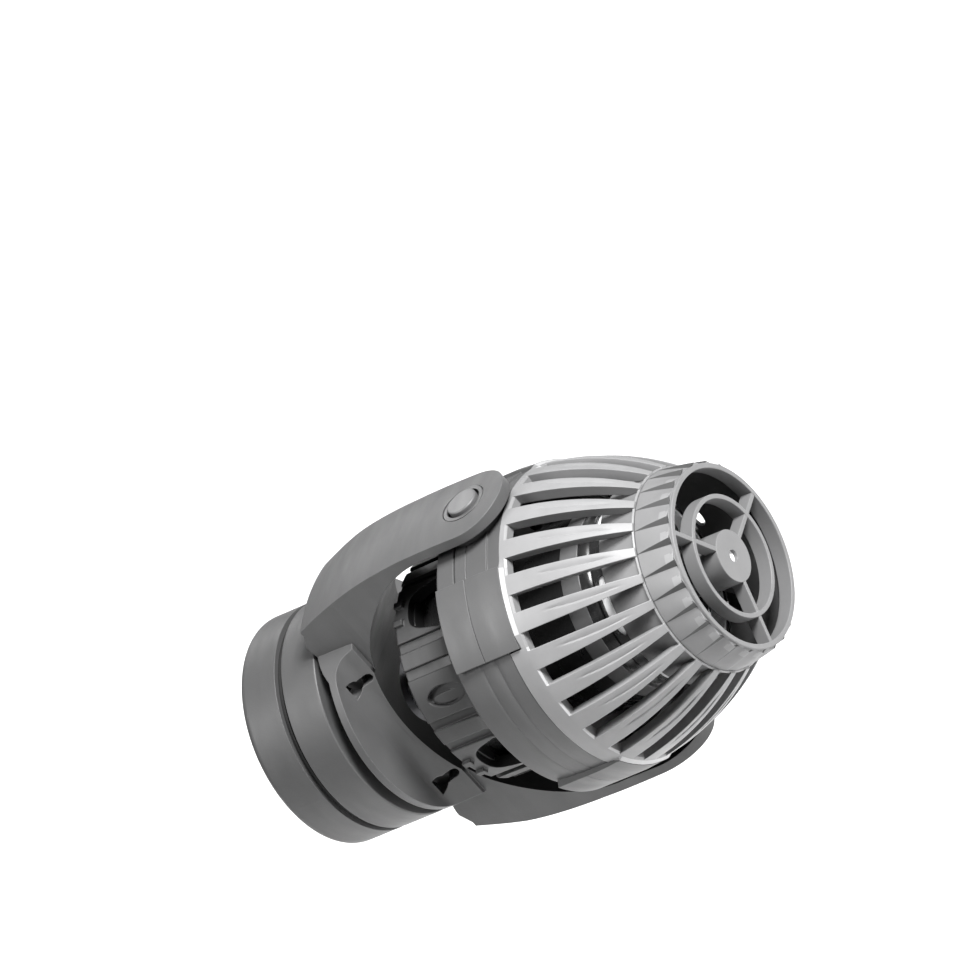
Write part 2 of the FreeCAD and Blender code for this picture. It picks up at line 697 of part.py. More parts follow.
def nozzle():
    grip = Part.makeLoft([
        sawtooth(NOZZLE_BACK, FLUTE_R - 0.5, FLUTE_R),
        sawtooth(NOZZLE_FRONT - 1.0, RIM_R + 0.1, FLUTE_R - 0.8),
    ], True, True)
    rim = drum(RIM_R, NOZZLE_FRONT - 2.0, NOZZLE_FRONT)
    duct = drum(DUCT_R, DUCT_BACK, NOZZLE_BACK)
    bore = spun([
        (0, DUCT_BACK - 1.0),
        (DUCT_R - DUCT_WALL, DUCT_BACK - 1.0),
        (DUCT_R - DUCT_WALL, 44.0),
        (RIM_R - 1.3, NOZZLE_FRONT - 8.0),
        (RIM_R - 1.3, NOZZLE_FRONT + 1.0),
        (0, NOZZLE_FRONT + 1.0),
    ])
    body = grip.multiFuse([rim, duct]).cut(bore)
    back = NOZZLE_FRONT - GUARD_DEPTH
    mid_ring = drum(MID_RING_R, back, NOZZLE_FRONT, MID_RING_R - 1.1)
    hub = drum(HUB_R, back, NOZZLE_FRONT)
    spoke = block(SPOKE_T, back + 0.4, NOZZLE_FRONT - 0.3, HUB_R - 1.0, RIM_R - 0.8)
    body = body.multiFuse([mid_ring, hub] + ring_of(spoke, SPOKE_ANGLES))
    hub_hollow = drum(HUB_R - 1.2, back - 1.0, NOZZLE_FRONT - 1.4)
    return body.cut(hub_hollow).cut(drum(1.2, back, NOZZLE_FRONT + 1))


# ---- write one STEP for each node ----
nodes = {}
for group in (magnet_parts(), yoke_parts(), pump_parts(), rotor_parts()):
    nodes.update(group)
nodes["cage"] = cage()
nodes["nozzle"] = nozzle()

os.makedirs("parts", exist_ok=True)
for name, shape in nodes.items():
    shape.exportStep("parts/" + name + ".step")
    print(name, len(shape.Solids), round(shape.Volume / 1000, 2), "cm3", shape.isValid())
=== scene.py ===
import bmesh
import bpy
import json
import math
from mathutils import Matrix, Vector


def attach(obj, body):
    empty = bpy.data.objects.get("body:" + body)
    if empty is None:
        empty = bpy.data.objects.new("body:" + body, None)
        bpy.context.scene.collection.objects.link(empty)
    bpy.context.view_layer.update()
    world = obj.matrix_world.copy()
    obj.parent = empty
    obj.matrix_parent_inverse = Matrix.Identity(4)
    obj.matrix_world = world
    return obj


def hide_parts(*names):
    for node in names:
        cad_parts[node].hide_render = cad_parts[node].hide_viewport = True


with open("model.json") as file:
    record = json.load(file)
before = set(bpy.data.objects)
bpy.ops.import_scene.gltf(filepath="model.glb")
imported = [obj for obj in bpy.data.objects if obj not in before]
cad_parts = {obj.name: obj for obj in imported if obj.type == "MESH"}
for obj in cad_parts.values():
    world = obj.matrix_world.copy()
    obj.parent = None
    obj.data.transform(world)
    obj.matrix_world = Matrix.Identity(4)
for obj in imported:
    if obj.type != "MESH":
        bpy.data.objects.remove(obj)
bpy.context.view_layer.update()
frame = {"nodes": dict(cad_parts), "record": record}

# ---- named sizes, mm: "ahead" is a distance in front of the tilt axis, as in the CAD part ----
PIVOT = 79.8
MM = 0.001

# ---- camera: angles in degrees, distances in mm ----
CAM_AZIMUTH = -52.31
CAM_ELEVATION = 25.29
CAM_ROLL = 41.70
CAM_DISTANCE = 2839.1
CAM_RIGHT = -25.8
CAM_UP = 40.9
CAM_LENS = 375.0


# ---- materials ----
def new_material(name):
    mat = bpy.data.materials.new(name)
    mat.use_nodes = True
    tree = mat.node_tree
    shader = tree.nodes["Principled BSDF"]
    return mat, tree, shader


def link(tree, a, b):
    tree.links.new(a, b)


def noise(tree, coords, scale, detail=3.0, rough=0.5, stretch=(1, 1, 1)):
    mapping = tree.nodes.new("ShaderNodeMapping")
    mapping.inputs["Scale"].default_value = stretch
    link(tree, coords, mapping.inputs["Vector"])
    tex = tree.nodes.new("ShaderNodeTexNoise")
    tex.inputs["Scale"].default_value = scale
    tex.inputs["Detail"].default_value = detail
    tex.inputs["Roughness"].default_value = rough
    link(tree, mapping.outputs["Vector"], tex.inputs["Vector"])
    return tex.outputs["Fac"]


def ramp(tree, value, low, high, out_low, out_high):
    node = tree.nodes.new("ShaderNodeMapRange")
    node.inputs["From Min"].default_value = low
    node.inputs["From Max"].default_value = high
    node.inputs["To Min"].default_value = out_low
    node.inputs["To Max"].default_value = out_high
    link(tree, value, node.inputs["Value"])
    return node.outputs["Result"]


def blend_colour(tree, factor, first, second):
    node = tree.nodes.new("ShaderNodeMix")
    node.data_type = "RGBA"
    link(tree, factor, node.inputs["Factor"])
    for socket, colour in ((node.inputs[6], first), (node.inputs[7], second)):
        if isinstance(colour, tuple):
            socket.default_value = (*colour, 1.0)
        else:
            link(tree, colour, socket)
    return node.outputs[2]


def edge_mask(tree, radius):
    """0 on flat areas and up to 1 on convex and concave edges within radius (metres)."""
    bevel = tree.nodes.new("ShaderNodeBevel")
    bevel.samples = 6
    bevel.inputs["Radius"].default_value = radius
    geometry = tree.nodes.new("ShaderNodeNewGeometry")
    dot = tree.nodes.new("ShaderNodeVectorMath")
    dot.operation = "DOT_PRODUCT"
    link(tree, bevel.outputs["Normal"], dot.inputs[0])
    link(tree, geometry.outputs["Normal"], dot.inputs[1])
    return ramp(tree, dot.outputs["Value"], 1.0, 0.86, 0.0, 1.0), bevel.outputs["Normal"]


def plastic(name, tone, rough=0.42, grain=1.0, edge=0.35, edge_mm=0.35, specular=0.5):
    """Satin moulded plastic: mottled tone, fine moulded grain, faint flow marks, and painted light along
    convex and concave edges: a painted highlight, or painted shade where edge is negative.
    """
    mat, tree, shader = new_material(name)
    coords = tree.nodes.new("ShaderNodeTexCoord").outputs["Object"]
    base = (tone, tone, tone * 1.01)
    dark = tuple(c * 0.93 for c in base)
    light = tuple(min(1.0, c * 1.06) for c in base)
    painted_edge_colour = tuple(min(1.0, c * (1 + edge)) for c in base)
    mottle = noise(tree, coords, 90.0, 5.0, 0.6)
    colour = blend_colour(tree, ramp(tree, mottle, 0.3, 0.7, 0.0, 1.0), dark, light)
    speck = noise(tree, coords, 2600.0, 2.0, 0.7)
    speck_fac = ramp(tree, speck, 0.62, 0.78, 0.0, 0.5)
    colour = blend_colour(tree, speck_fac, colour, tuple(c * 0.8 for c in base))
    # painted edge light: edges lightened by edge as a painted highlight, or darkened as painted shade when
    # edge is negative, patchy with noise
    mask, rounded = edge_mask(tree, edge_mm * MM)
    edge_patchiness = noise(tree, coords, 400.0, 4.0, 0.6)
    painted_edge_mix = tree.nodes.new("ShaderNodeMath")
    painted_edge_mix.operation = "MULTIPLY"
    link(tree, mask, painted_edge_mix.inputs[0])
    link(tree, ramp(tree, edge_patchiness, 0.3, 0.6, 0.45, 1.0), painted_edge_mix.inputs[1])
    colour = blend_colour(tree, painted_edge_mix.outputs[0], colour, painted_edge_colour)
    link(tree, colour, shader.inputs["Base Color"])
    flow = noise(tree, coords, 60.0, 3.0, 0.5, (1.0, 4.0, 1.0))
    link(tree, ramp(tree, flow, 0.3, 0.7, rough - 0.05, rough + 0.07), shader.inputs["Roughness"])
    shader.inputs["Specular IOR Level"].default_value = specular
    bump = tree.nodes.new("ShaderNodeBump")
    bump.inputs["Strength"].default_value = 0.16 * grain
    bump.inputs["Distance"].default_value = 0.00012
    link(tree, noise(tree, coords, 1700.0, 3.0, 0.6), bump.inputs["Height"])
    link(tree, rounded, bump.inputs["Normal"])
    link(tree, bump.outputs["Normal"], shader.inputs["Normal"])
    return mat


def metal(name, colour, rough, stretch, bands=0.0):
    """Metal with fine lines along one direction, and bands for a stack or a winding."""
    mat, tree, shader = new_material(name)
    coords = tree.nodes.new("ShaderNodeTexCoord").outputs["Object"]
    lines = noise(tree, coords, 700.0, 4.0, 0.7, stretch)
    if bands:
        wave = tree.nodes.new("ShaderNodeTexWave")
        wave.bands_direction = "Y"
        wave.inputs["Scale"].default_value = bands
        link(tree, coords, wave.inputs["Vector"])
        lines = wave.outputs["Fac"]
    dark = tuple(c * 0.75 for c in colour)
    link(tree, blend_colour(tree, lines, dark, colour), shader.inputs["Base Color"])
    shader.inputs["Metallic"].default_value = 1.0
    link(tree, ramp(tree, lines, 0.3, 0.7, rough + 0.08, rough - 0.05), shader.inputs["Roughness"])
    bump = tree.nodes.new("ShaderNodeBump")
    bump.inputs["Strength"].default_value = 0.25
    bump.inputs["Distance"].default_value = 0.0001
    link(tree, lines, bump.inputs["Height"])
    link(tree, bump.outputs["Normal"], shader.inputs["Normal"])
    return mat


MATERIALS = {
    "mount_plastic": plastic("mount_plastic", 0.046, 0.50),
    "cover_plastic": plastic("cover_plastic", 0.03, 0.55),
    "magnet_nickel": metal("magnet_nickel", (0.62, 0.60, 0.56), 0.25, (1, 1, 30)),
    "pad_rubber": plastic("pad_rubber", 0.006, 0.75, 2.5, 0.2),
    "steel": metal("steel", (0.20, 0.20, 0.21), 0.34, (1, 30, 1)),
    # edge 0.9 paints a strong highlight along the yoke's edges
    "yoke_plastic": plastic("yoke_plastic", 0.054, 0.50, 1.3, 0.9),
    "bush_plastic": plastic("bush_plastic", 0.05, 0.4),
    "damper_rubber": plastic("damper_rubber", 0.035, 0.7, 2.0, 0.2),
    "pin_plastic": plastic("pin_plastic", 0.088, 0.45),
    "shell_plastic": plastic("shell_plastic", 0.054, 0.52),
    # edge -0.9 paints shade along the motor housing's edges, grooves and scoops
    "motor_plastic": plastic("motor_plastic", 0.026, 0.50, 1.0, -0.9, 0.6),
    "potting_resin": plastic("potting_resin", 0.008, 0.3),
    "gland_plastic": plastic("gland_plastic", 0.012, 0.5),
    "can_plastic": plastic("can_plastic", 0.014, 0.25),
    "laminations": metal("laminations", (0.42, 0.42, 0.43), 0.4, (1, 1, 1), 1800.0),
    "copper": metal("copper", (0.72, 0.38, 0.20), 0.3, (1, 1, 1), 900.0),
    "ceramic": plastic("ceramic", 0.85, 0.25, 0.3, 0.05),
    "rotor_magnet": plastic("rotor_magnet", 0.03, 0.35),
    "prop_plastic": plastic("prop_plastic", 0.008, 0.4),
    "cage_plastic": plastic("cage_plastic", 0.160, 0.46),
    "nozzle_plastic": plastic("nozzle_plastic", 0.120, 0.52),
}

# a lighter finish for the cage's sloped faces: painted highlight
LIT_SLOPE_FINISH = plastic("painted_highlight_slope", 0.30, 0.45)
# a lighter finish for small patches beside the nozzle's rim: painted highlight
LIT_PATCH_FINISH = plastic("painted_highlight_patch", 0.155, 0.5)
# a lighter finish for a band on the can: painted reflection
CAN_REFLECTION = plastic("can_reflection_band", 0.09, 0.4)
# a dark finish for the flutes' steep sides and the inside of the duct: painted shade
SHADED_FLUTE_SIDE = plastic("painted_shade_flute_side", 0.028, 0.6)
# near-black finish used as painted shade: the yoke's hollow, the pivot gaps, and the motor's scoops and
# window walls
PAINTED_SHADE = plastic("painted_shade", 0.004, 0.8, 1.0, 0.35, 0.35, 0.1)
PAINTED_SHADE_TONE = (0.005, 0.005, 0.005)
SLOT_OF = {s["node"]: s["material_slot"] for s in frame["record"]["subparts"]}
for node, obj in frame["nodes"].items():
    obj.data.materials.clear()
    obj.data.materials.append(MATERIALS[SLOT_OF[node]])


def vector_math(tree, operation, first, second=None):
    node = tree.nodes.new("ShaderNodeVectorMath")
    node.operation = operation
    link(tree, first, node.inputs[0])
    if isinstance(second, tuple):
        node.inputs[1].default_value = second
    elif second is not None:
        link(tree, second, node.inputs[1])
    return node


YOKE_REACH = 56.2          # just outside the round floor between the yoke's arms
SHADE_FADE = 0.6


def paint_hollow_shade(mat):
    """Paint shade on the yoke's round floor and the inner faces of its arms, near the tilt axis and facing
    it: colour near black and specular lowered, as painted shade.
    """
    tree = mat.node_tree
    shader = tree.nodes["Principled BSDF"]
    coords = tree.nodes.new("ShaderNodeTexCoord")
    place = vector_math(tree, "ADD", coords.outputs["Object"], (0.0, PIVOT * MM, 0.0)).outputs["Vector"]
    across = vector_math(tree, "MULTIPLY", place, (0.0, 1.0, 1.0)).outputs["Vector"]
    reach = vector_math(tree, "LENGTH", across).outputs["Value"]
    unit = vector_math(tree, "NORMALIZE", across).outputs["Vector"]
    facing = vector_math(tree, "DOT_PRODUCT", unit, coords.outputs["Normal"]).outputs["Value"]
    painted_shade_mask = tree.nodes.new("ShaderNodeMath")
    painted_shade_mask.operation = "MULTIPLY"
    link(tree, ramp(tree, facing, -0.7, -0.5, 1.0, 0.0), painted_shade_mask.inputs[0])
    near, far = YOKE_REACH * MM, (YOKE_REACH + SHADE_FADE) * MM
    link(tree, ramp(tree, reach, near, far, 1.0, 0.0), painted_shade_mask.inputs[1])
    plain_colour = shader.inputs["Base Color"].links[0].from_socket
    shaded = blend_colour(tree, painted_shade_mask.outputs[0], plain_colour, PAINTED_SHADE_TONE)
    link(tree, shaded, shader.inputs["Base Color"])
    link(tree, ramp(tree, painted_shade_mask.outputs[0], 0.0, 1.0, 0.5, 0.1), shader.inputs["Specular IOR Level"])


paint_hollow_shade(MATERIALS["yoke_plastic"])


# ---- mesh helpers: points are (radius, angle in degrees from the top towards -X, ahead) in mm ----
def at(radius, angle, ahead):
    turn = math.radians(angle)
    return (-radius * math.sin(turn) * MM, -(PIVOT + ahead) * MM, radius * math.cos(turn) * MM)


def ahead_of(point):
    return -point[1] / MM - PIVOT


def radius_of(point):
    """Distance from the pump's own axis, in mm."""
    return math.hypot(point[0], point[2]) / MM


def angle_of(point):
    return math.degrees(math.atan2(-point[0], point[2]))


def first_finish(centre, normal):
    """Every face takes the first extra finish."""
    return 1


def new_object(name, points, faces):
    mesh = bpy.data.meshes.new(name)
    mesh.from_pydata(points, [], faces)
    cleaner = bmesh.new()
    cleaner.from_mesh(mesh)
    bmesh.ops.remove_doubles(cleaner, verts=cleaner.verts, dist=0.000004)
    bmesh.ops.dissolve_degenerate(cleaner, edges=cleaner.edges, dist=0.000002)
    bmesh.ops.recalc_face_normals(cleaner, faces=cleaner.faces)
    cleaner.to_mesh(mesh)
    cleaner.free()
    obj = bpy.data.objects.new(name, mesh)
    bpy.context.scene.collection.objects.link(obj)
    return obj


def merge(*meshes):
    points, faces = [], []
    for some_points, some_faces in meshes:
        start = len(points)
        points += some_points
        faces += [tuple(v + start for v in face) for face in some_faces]
    return points, faces


def carve(solid, *cutters):
    """A closed mesh, as points and faces, with other closed meshes taken away."""
    block = new_object("block", *solid)
    tool = new_object("tool", *merge(*cutters))
    cut = block.modifiers.new("cut", "BOOLEAN")
    cut.operation = "DIFFERENCE"
    cut.solver = "EXACT"
    cut.object = tool
    result = block.evaluated_get(bpy.context.evaluated_depsgraph_get()).to_mesh()
    points = [tuple(v.co) for v in result.vertices]
    faces = [tuple(p.vertices) for p in result.polygons]
    for obj in (block, tool):
        bpy.data.objects.remove(obj)
    return points, faces


def add_piece(name, points, faces, body, slot, nodes=(), bevel=0.0, sharp=35.0, extras=(), pick=None):
    """A mesh that rides on a body, takes a record slot's finish and stands for CAD nodes.
    pick(centre, normal) gives the number of the extra finish for a face, or 0."""
    obj = new_object(name, points, faces)
    mesh = obj.data
    mesh.materials.append(MATERIALS[slot])
    for extra in extras:
        mesh.materials.append(extra)
    for polygon in mesh.polygons:
        polygon.use_smooth = True
        if extras:
            polygon.material_index = int(pick(polygon.center, polygon.normal))
    if bevel:
        rounding = obj.modifiers.new("edge", "BEVEL")
        rounding.width = bevel * MM
        rounding.segments = 2
        rounding.limit_method = "ANGLE"
        rounding.angle_limit = math.radians(sharp)
    mesh.set_sharp_from_angle(angle=math.radians(sharp))
    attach(obj, body)
    if nodes:
        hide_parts(*nodes)
    return obj


def thick_wall(outer, inner, filled):
    """A closed wall between two grids of points. filled(i, j) says whether a cell is solid."""
    rows, count = len(outer), len(outer[0])
    points = [p for grid in (outer, inner) for row in grid for p in row]

    def out(i, j):
        return i * count + j % count

    def inn(i, j):
        return (rows + i) * count + j % count

    def solid(i, j):
        return 0 <= i < rows - 1 and filled(i, j % count)

    faces = []
    for i in range(rows - 1):
        for j in range(count):
            if not solid(i, j):
                continue
            k = j + 1
            faces.append((out(i, j), out(i + 1, j), out(i + 1, k), out(i, k)))
            faces.append((inn(i, j), inn(i, k), inn(i + 1, k), inn(i + 1, j)))
            if not solid(i - 1, j):
                faces.append((out(i, j), out(i, k), inn(i, k), inn(i, j)))
            if not solid(i + 1, j):
                faces.append((out(i + 1, j), inn(i + 1, j), inn(i + 1, k), out(i + 1, k)))
            if not solid(i, j - 1):
                faces.append((out(i, j), inn(i, j), inn(i + 1, j), out(i + 1, j)))
            if not solid(i, k):
                faces.append((out(i, k), out(i + 1, k), inn(i + 1, k), inn(i, k)))
    return points, faces


def ring_mesh(sections, count=192):
    """A closed turned ring. sections are (radius, ahead) corners."""
    points, faces = [], []
    for c in range(count):
        for radius, ahead in sections:
            points.append(at(radius, 360.0 * c / count, ahead))
    n = len(sections)
    for c in range(count):
        d = (c + 1) % count
        for index in range(n):
            after = (index + 1) % n
            faces.append((c * n + index, c * n + after, d * n + after, d * n + index))
    return points, faces


def prism(outline, low, high):
    """A closed block over an outline of (angle, ahead) corners. low(ahead) and high are its radii."""
    n = len(outline)
    points = [at(low(ahead), angle, ahead) for angle, ahead in outline]
    points += [at(high, angle, ahead) for angle, ahead in outline]
    faces = [tuple(range(n)), tuple(range(2 * n - 1, n - 1, -1))]
    faces += [(i, (i + 1) % n, n + (i + 1) % n, n + i) for i in range(n)]
    return points, faces


def post(radius, low, high, side=0.0, ahead=0.0, count=64):
    """A closed cylinder along the tilt axis, or beside it."""
    points = []
    for height in (low, high):
        for c in range(count):
            turn = 2 * math.pi * c / count
            x, y = side + radius * math.cos(turn), -(PIVOT + ahead) + radius * math.sin(turn)
            points.append((x * MM, y * MM, height * MM))
    faces = [tuple(range(count)), tuple(range(2 * count - 1, count - 1, -1))]
    faces += [(i, (i + 1) % count, count + (i + 1) % count, count + i) for i in range(count)]
    return points, faces


def flipped(mesh):
    """The same mesh at the lower pivot."""
    points, faces = mesh
    return [(-x, y, -z) for x, y, z in points], faces


def soft_curve(corners, steps=3):
    """The closed outline with its corners rounded off."""
    for _ in range(steps):
        finer = []
        for (x1, y1), (x2, y2) in zip(corners, corners[1:] + corners[:1]):
            finer.append((0.75 * x1 + 0.25 * x2, 0.75 * y1 + 0.25 * y2))
            finer.append((0.25 * x1 + 0.75 * x2, 0.25 * y1 + 0.75 * y2))
        corners = finer
    return corners


def arc_through(first, middle, last):
    """Centre and radius of the circle through three (ahead, radius) points."""
    (x1, y1), (x2, y2), (x3, y3) = first, middle, last
    d = 2 * (x1 * (y2 - y3) + x2 * (y3 - y1) + x3 * (y1 - y2))
    q1, q2, q3 = x1 * x1 + y1 * y1, x2 * x2 + y2 * y2, x3 * x3 + y3 * y3
    cx = (q1 * (y2 - y3) + q2 * (y3 - y1) + q3 * (y1 - y2)) / d
    cy = (q1 * (x3 - x2) + q2 * (x1 - x3) + q3 * (x2 - x1)) / d
    return cx, cy, math.hypot(x1 - cx, y1 - cy)


def smooth(x):
    x = max(0.0, min(1.0, x))
    return x * x * (3 - 2 * x)


def spread(low, high, count):
    return [low + (high - low) * i / count for i in range(count + 1)]


# ---- a thin near-black ring as painted shade in the gap round each pivot pin's button ----
GAP_R, GAP_IN = 5.6, 3.7
GAP_LOW, GAP_HIGH = 50.05, 50.16
gap = carve(post(GAP_R, GAP_LOW, GAP_HIGH), post(GAP_IN, 49.0, 52.0))
add_piece("pin_gap_shade", *merge(gap, flipped(gap)), "bracket", "bush_plastic",
          extras=[PAINTED_SHADE], pick=first_finish)


# ---- intake cage ----
CAGE_BACK, CAGE_FRONT = 7.0, 48.0
SLOT_BACK, SLOT_FRONT = 13.2, 47.5
SLOT_W = 5.3
SLOTS = 25
SLOT_LEAD = 12.7           # where the sloped back end of a slot starts
SLOT_STEP = 0.5            # depth of that slope
STRIP_FRONT = 12.3         # end of the slope in front of a raised plate
NOTCH_EDGE = 59.5          # half angle of the notch round a pivot plate
NOTCH_FRONT = 11.1
PLATE_R = 46.3
PLATE_LOW, PLATE_HIGH = 28.0, 59.0      # a raised plate's sides, from the pivot
BESIDE_R = 45.2            # between the two plates at a pivot
PITCH = 360.0 / SLOTS
LIT_SLOPE_R = 43.3
LIT_SLOPE_FROM = 20.0            # the slots' sloped ends take a painted highlight beyond this angle from a pivot
CAGE_SIDE = 44.95          # outer radius of the cage's back collar
CAGE_WALL_IN = 41.55       # inner radius behind the slots
NECK_IN, NECK_START = 30.1, 44.0
RIB_COLUMNS = 20
PER_SLOT = RIB_COLUMNS + 4
HAIR = 0.02                # between the two sides of a sharp step
OUTER_ARC = arc_through((8.5, 45.4), (30.0, 40.3), (48.0, 31.0))
INNER_ARC = arc_through((SLOT_BACK, CAGE_WALL_IN), (30.0, 36.6), (NECK_START, NECK_IN))
LEAF_DEPTH = 0.42
LEAF_STEP = 0.09           # width of the leaf's steep side, as a share of half a rib


def from_pivot(angle):
    """Angle to the nearer pivot, 0 to 90."""
    return abs((angle + 90.0) % 180.0 - 90.0)


def arc_radius(arc, ahead):
    cx, cy, radius = arc
    return cy + math.sqrt(max(0.0, radius * radius - (ahead - cx) ** 2))


def cage_inner(ahead):
    if ahead < SLOT_BACK:
        return CAGE_WALL_IN
    return NECK_IN if ahead > NECK_START else arc_radius(INNER_ARC, ahead)


def cage_outer(ahead, angle):
    """Outer radius. In front of a plate it slopes up to the plate's edge."""
    radius = arc_radius(OUTER_ARC, ahead)
    if ahead < NOTCH_FRONT - 0.5:
        return min(radius, CAGE_SIDE)
    rise = max(0.0, (STRIP_FRONT - ahead) / (STRIP_FRONT - NOTCH_FRONT))
    if PLATE_LOW < from_pivot(angle) < NOTCH_EDGE:
        return radius + (PLATE_R - 0.6 - radius) * rise
    if from_pivot(angle) < PLATE_LOW:
        return radius + (BESIDE_R - 0.1 - radius) * rise
    return min(radius, CAGE_SIDE)


def leaf_depth(ahead, across):
    """Depth of the leaf-shaped facet on a rib. across runs from -1 at the upper edge to 1."""
    t = ((ahead - SLOT_BACK) / (SLOT_FRONT - SLOT_BACK) - 0.20) / 0.68
    if not 0 < t < 1:
        return 0.0
    bulge = math.sin(math.pi * t)
    low = -0.35 + 0.42 * t + 0.20 * bulge
    high = -0.35 + 0.10 * t - 0.42 * bulge
    if not high < across < low + LEAF_STEP:
        return 0.0
    if across > low:
        return LEAF_DEPTH * bulge * (1 - (across - low) / LEAF_STEP)
    return LEAF_DEPTH * smooth(bulge * 1.6) * ((across - high) / max(low - high, 0.01)) ** 1.4


def cage_columns(radius):
    """(angle, place) for each column: a slot's edges and middle, then the places -1 to 1 across a rib."""
    half = math.degrees(math.asin(SLOT_W / 2 / radius))
    columns = []
    for k in range(SLOTS):
        low, high = PITCH * k - half, PITCH * k + half
        inside = PITCH * k
        for edge in (NOTCH_EDGE, 180 - NOTCH_EDGE, 180 + NOTCH_EDGE, 360 - NOTCH_EDGE):
            if low < edge < high:
                inside = edge + HAIR
        columns += [(low, None), (low + HAIR, "slot"), (inside, "slot"), (high - HAIR, "slot")]
        start, end = PITCH * k + half, PITCH * (k + 1) - half
        for share in spread(0.0, 1.0, RIB_COLUMNS)[:-1]:
            columns.append((start + (end - start) * share, 2 * share - 1))
    return columns


def cage_mesh():
    rows = [CAGE_BACK, 9.0, NOTCH_FRONT, STRIP_FRONT, SLOT_LEAD, SLOT_BACK, SLOT_BACK + HAIR]
    rows += spread(SLOT_BACK, SLOT_FRONT, 56)[1:] + [CAGE_FRONT]
    lead, first, last = 4, 5, len(rows) - 2
    outer, inner = [], []
    for i, ahead in enumerate(rows):
        bottom = cage_inner(ahead)
        columns = cage_columns(arc_radius(OUTER_ARC, ahead))
        out_row = []
        for angle, place in columns:
            radius = cage_outer(ahead, angle)
            if place == "slot" and i > lead:
                radius -= SLOT_STEP
            elif isinstance(place, float) and i > lead:
                radius -= leaf_depth(ahead, place)
            out_row.append(at(radius, angle, ahead))
        outer.append(out_row)
        inner.append([at(bottom, angle, ahead) for angle, place in cage_columns(bottom)])
    angles = [angle for angle, place in cage_columns(44.9)]

    def filled(i, j):
        if j % PER_SLOT < 4 and first <= i < last:
            return False
        return i > 1 or from_pivot(angles[j]) > NOTCH_EDGE

    return thick_wall(outer, inner, filled)


def cage_lit_slope(centre, normal):
    """The sloped faces in front of the plates, and at the back ends of the slots clear of them: they take a
    lighter finish as a painted highlight.
    """
    outward = (centre[0] * normal[0] + centre[2] * normal[2]) / math.hypot(centre[0], centre[2])
    turn = from_pivot(angle_of(centre))
    if not (0.3 < outward < 0.93 and radius_of(centre) > LIT_SLOPE_R):
        return False
    if PLATE_LOW < turn < NOTCH_EDGE:
        return NOTCH_FRONT < ahead_of(centre) < STRIP_FRONT
    return turn > LIT_SLOPE_FROM and SLOT_LEAD < ahead_of(centre) < SLOT_BACK


spigot = ring_mesh([(40.15, 4.0), (41.95, 4.0), (41.95, 8.6), (41.6, 9.5), (40.15, 9.5)])
add_piece("cage_body", *merge(cage_mesh(), spigot), "intake_cage", "cage_plastic", ["cage"], 0.2,
          extras=[LIT_SLOPE_FINISH], pick=cage_lit_slope)


# ---- rear and front shells, made as one wall with a fine seam across the plates ----
SHELL_BACK, SHELL_FRONT = -12.8, 6.8
PLATE_BACK, PLATE_FRONT = -11.5, 11.0
SHELL_IN = 42.3
SEAM = -1.0
BORE_R = 3.55
SOFT_LINES = (-4.0, 1.2)
BESIDE_LINE = -5.3         # middle of the groove between the plates at a pivot
BESIDE_STEP = 6.4          # where the surface between the plates steps down


def shell_outer(ahead, angle):
    turn = from_pivot(angle)
    if turn < PLATE_HIGH and PLATE_BACK < ahead:
        radius = PLATE_R - 0.5 * smooth((ahead - 3.0) / 8.0) if turn > PLATE_LOW else BESIDE_R
        if abs(ahead - SEAM) < 0.1:
            radius -= 0.3
        if turn < PLATE_LOW and abs(ahead - BESIDE_LINE) < 0.3:
            radius -= 0.9
        if turn < PLATE_LOW and ahead > BESIDE_STEP:
            radius -= 0.5
        return radius
    radius = 44.8 - 0.0062 * min(ahead, 0.0) ** 2
    for line in SOFT_LINES:
        radius -= 0.22 * max(0.0, 1 - abs(ahead - line) / 0.5)
    return radius


def shell_mesh():
    rows = {SHELL_BACK, -10.0, -8.0, -6.5, 3.0, 4.0, 5.0, SHELL_FRONT, 8.0, 9.0, 10.0, PLATE_FRONT}
    for step in (PLATE_BACK, SEAM - 0.1, SEAM + 0.1, -5.6, -5.0, BESIDE_STEP):
        rows |= {step - HAIR, step + HAIR}
    for line in SOFT_LINES:
        rows |= {line - 0.5, line, line + 0.5}
    rows = sorted(rows)
    columns = set(spread(0.0, 360.0, 240)[:-1])
    for pole in (0.0, 180.0, 360.0):
        for edge in (-PLATE_HIGH, -PLATE_LOW, PLATE_LOW, PLATE_HIGH):
            columns |= {pole + edge - HAIR, pole + edge + HAIR}
    columns = sorted(angle for angle in columns if 0 <= angle < 360)
    outer = [[at(shell_outer(ahead, angle), angle, ahead) for angle in columns] for ahead in rows]
    thin = [SHELL_IN - max(0.0, -4.0 - ahead) * 0.12 for ahead in rows]
    inner = [[at(radius, angle, ahead) for angle in columns] for radius, ahead in zip(thin, rows)]
    front_row = rows.index(SHELL_FRONT)

    def filled(i, j):
        middle = (columns[j] + (columns + [360.0])[j + 1]) / 2
        return i < front_row or from_pivot(middle) < PLATE_HIGH

    return thick_wall(outer, inner, filled)


PORTS, PORT_R = 10, 4.4
PORT_RING_R = 35.2         # distance of the ports' centres from the pump's axis
PORT_MIDDLE = -7.7
WEB_BACK, WEB_FRONT, WEB_IN = -9.0, -6.5, 28.0


def web_port(angle):
    """A short cylinder along the pump's axis, where one port of the web is."""
    points, faces = post(PORT_R, -2.0, 2.0)
    turn = math.radians(angle)
    side, up = PORT_RING_R * MM * math.sin(turn), PORT_RING_R * MM * math.cos(turn)
    back = -(PIVOT + PORT_MIDDLE) * MM
    return [(x - side, back + z, y + PIVOT * MM + up) for x, y, z in points], faces


